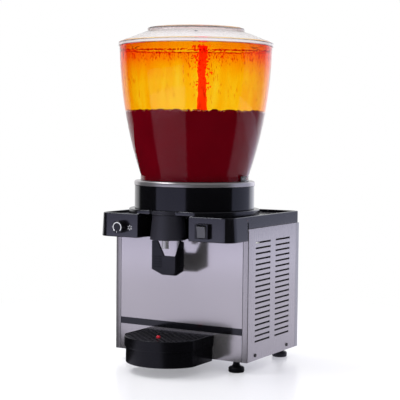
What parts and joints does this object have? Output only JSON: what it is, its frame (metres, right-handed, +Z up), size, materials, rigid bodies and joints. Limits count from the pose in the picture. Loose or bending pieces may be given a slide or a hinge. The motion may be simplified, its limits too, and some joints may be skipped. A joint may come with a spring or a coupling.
{
  "type": "cold drink dispenser",
  "caption": "Refrigerated drink dispenser with a clear lift-off bowl and lid, push lever tap, drip tray and louvred steel cabinet.",
  "frame": {"origin": "on the floor under the bowl axis, midway between the drip tray front and the rear gland", "axes": "+X to the right seen from the front, +Y to the back, +Z up"},
  "size_m": [0.325, 0.386, 0.707],
  "materials": {
    "base_pan": "matt",
    "front_panel": "satin",
    "left_side_panel": "satin",
    "right_side_panel": "satin",
    "rear_panel": "matt",
    "front_band": "gloss",
    "top_tray": "gloss",
    "tap_cover": "gloss",
    "collar": "gloss",
    "seat_ring": "satin",
    "bowl_clips": "satin",
    "bowl_gasket": "matt",
    "collar_foam": "matt",
    "cold_drum": "satin",
    "evaporator_coil": "dull",
    "motor_bracket": "matt",
    "pump_motor": "satin",
    "drive_magnet": "satin",
    "impeller": "matt",
    "pump_housing": "matt",
    "spray_tube": "matt",
    "compressor": "gloss",
    "compressor_grommets": "matt",
    "condenser_fins": "dull",
    "condenser_tubes": "dull",
    "fan_shroud": "satin",
    "fan_motor": "satin",
    "fan_rotor": "satin",
    "discharge_pipe": "dull",
    "suction_pipe": "dull",
    "filter_drier": "dull",
    "capillary_tube": "dull",
    "thermostat_body": "matt",
    "thermostat_knob": "gloss",
    "switch_body": "gloss",
    "switch_rocker": "satin",
    "mains_gland": "satin",
    "junction_box": "matt",
    "tap_body": "matt",
    "nozzle": "satin",
    "valve_stem": "satin",
    "valve_seal": "matt",
    "valve_spring": "satin",
    "tap_lever": "gloss",
    "lever_pin": "satin",
    "bowl": "clear",
    "drink": "clear",
    "lid": "clear",
    "drip_tray": "gloss",
    "drip_grille": "satin",
    "tray_float": "gloss",
    "tray_studs": "satin",
    "foot_front_left": "satin",
    "foot_front_right": "satin",
    "foot_rear_left": "satin",
    "foot_rear_right": "satin",
    "foot_nuts": "matt",
    "panel_screws": "matt"
  },
  "bodies": {
    "cabinet": {"base_pan": "base_pan", "front_panel": "front_panel", "left_side_panel": "left_side_panel", "right_side_panel": "right_side_panel", "rear_panel": "rear_panel", "front_band": "front_band", "top_tray": "top_tray", "tap_cover": "tap_cover", "collar": "collar", "seat_ring": "seat_ring", "bowl_clips": "bowl_clips", "bowl_gasket": "bowl_gasket", "collar_foam": "collar_foam", "cold_drum": "cold_drum", "evaporator_coil": "evaporator_coil", "motor_bracket": "motor_bracket", "pump_motor": "pump_motor", "pump_housing": "pump_housing", "spray_tube": "spray_tube", "compressor": "compressor", "compressor_grommets": "compressor_grommets", "condenser_fins": "condenser_fins", "condenser_tubes": "condenser_tubes", "fan_shroud": "fan_shroud", "fan_motor": "fan_motor", "discharge_pipe": "discharge_pipe", "suction_pipe": "suction_pipe", "filter_drier": "filter_drier", "capillary_tube": "capillary_tube", "thermostat_body": "thermostat_body", "switch_body": "switch_body", "mains_gland": "mains_gland", "junction_box": "junction_box", "tap_body": "tap_body", "nozzle": "nozzle", "valve_spring": "valve_spring", "lever_pin": "lever_pin", "tray_studs": "tray_studs", "foot_nuts": "foot_nuts", "panel_screws": "panel_screws"},
    "lever": {"tap_lever": "tap_lever"},
    "stem": {"valve_stem": "valve_stem", "valve_seal": "valve_seal"},
    "knob": {"thermostat_knob": "thermostat_knob"},
    "rocker": {"switch_rocker": "switch_rocker"},
    "bowl": {"bowl": "bowl", "drink": "drink"},
    "lid": {"lid": "lid"},
    "drip_tray": {"drip_tray": "drip_tray"},
    "grille": {"drip_grille": "drip_grille"},
    "float": {"tray_float": "tray_float"},
    "fan": {"fan_rotor": "fan_rotor"},
    "magnet": {"drive_magnet": "drive_magnet"},
    "impeller": {"impeller": "impeller"},
    "foot_front_left": {"foot_front_left": "foot_front_left"},
    "foot_front_right": {"foot_front_right": "foot_front_right"},
    "foot_rear_left": {"foot_rear_left": "foot_rear_left"},
    "foot_rear_right": {"foot_rear_right": "foot_rear_right"}
  },
  "joints": [
    {"name": "lever_push", "type": "hinge", "parent": "cabinet", "child": "lever", "pos_m": [0, -0.1045, 0.312], "axis": [1, 0, 0], "range_deg": [0, 15]},
    {"name": "stem_slide", "type": "slide", "parent": "cabinet", "child": "stem", "axis": [0, 0, -1], "range_m": [0, 0.0031], "stiffness_N_per_m": 400, "springref_m": -0.01, "deforming": ["valve_spring"]},
    {"name": "knob_turn", "type": "hinge", "parent": "cabinet", "child": "knob", "pos_m": [-0.101, -0.134, 0.2935], "axis": [0, 1, 0], "range_deg": [-135, 135]},
    {"name": "rocker_tilt", "type": "hinge", "parent": "cabinet", "child": "rocker", "pos_m": [0.0955, -0.13, 0.2935], "axis": [-1, 0, 0], "range_deg": [0, 16]},
    {"name": "bowl_lift", "type": "slide", "parent": "cabinet", "child": "bowl", "axis": [0, 0, 1], "range_m": [0, 0.17]},
    {"name": "lid_lift", "type": "slide", "parent": "bowl", "child": "lid", "axis": [0, 0, 1], "range_m": [0, 0.1]},
    {"name": "tray_lift", "type": "slide", "parent": "cabinet", "child": "drip_tray", "axis": [0, 0, 1], "range_m": [0, 0.06]},
    {"name": "grille_lift", "type": "slide", "parent": "drip_tray", "child": "grille", "axis": [0, 0, 1], "range_m": [0, 0.04]},
    {"name": "float_rise", "type": "slide", "parent": "drip_tray", "child": "float", "axis": [0, 0, 1], "range_m": [0, 0.012]},
    {"name": "fan_spin", "type": "hinge", "parent": "cabinet", "child": "fan", "pos_m": [0.1, 0.054, 0.1412], "axis": [1, 0, 0], "continuous": true},
    {"name": "magnet_spin", "type": "hinge", "parent": "cabinet", "child": "magnet", "pos_m": [0, 0, 0.45], "axis": [0, 0, 1], "continuous": true},
    {"name": "impeller_spin", "type": "hinge", "parent": "cabinet", "child": "impeller", "pos_m": [0, 0, 0.467], "axis": [0, 0, 1], "continuous": true},
    {"name": "foot_front_left_turn", "type": "hinge", "parent": "cabinet", "child": "foot_front_left", "pos_m": [-0.126, -0.038, 0.03], "axis": [0, 0, 1], "continuous": true},
    {"name": "foot_front_right_turn", "type": "hinge", "parent": "cabinet", "child": "foot_front_right", "pos_m": [0.126, -0.038, 0.03], "axis": [0, 0, 1], "continuous": true},
    {"name": "foot_rear_left_turn", "type": "hinge", "parent": "cabinet", "child": "foot_rear_left", "pos_m": [-0.126, 0.162, 0.03], "axis": [0, 0, 1], "continuous": true},
    {"name": "foot_rear_right_turn", "type": "hinge", "parent": "cabinet", "child": "foot_rear_right", "pos_m": [0.126, 0.162, 0.03], "axis": [0, 0, 1], "continuous": true}
  ],
  "couplings": [
    {"joint": "stem_slide", "follows": "lever_push", "m_per_rad": 0.0115},
    {"joint": "impeller_spin", "follows": "magnet_spin", "ratio": 1}
  ]
}
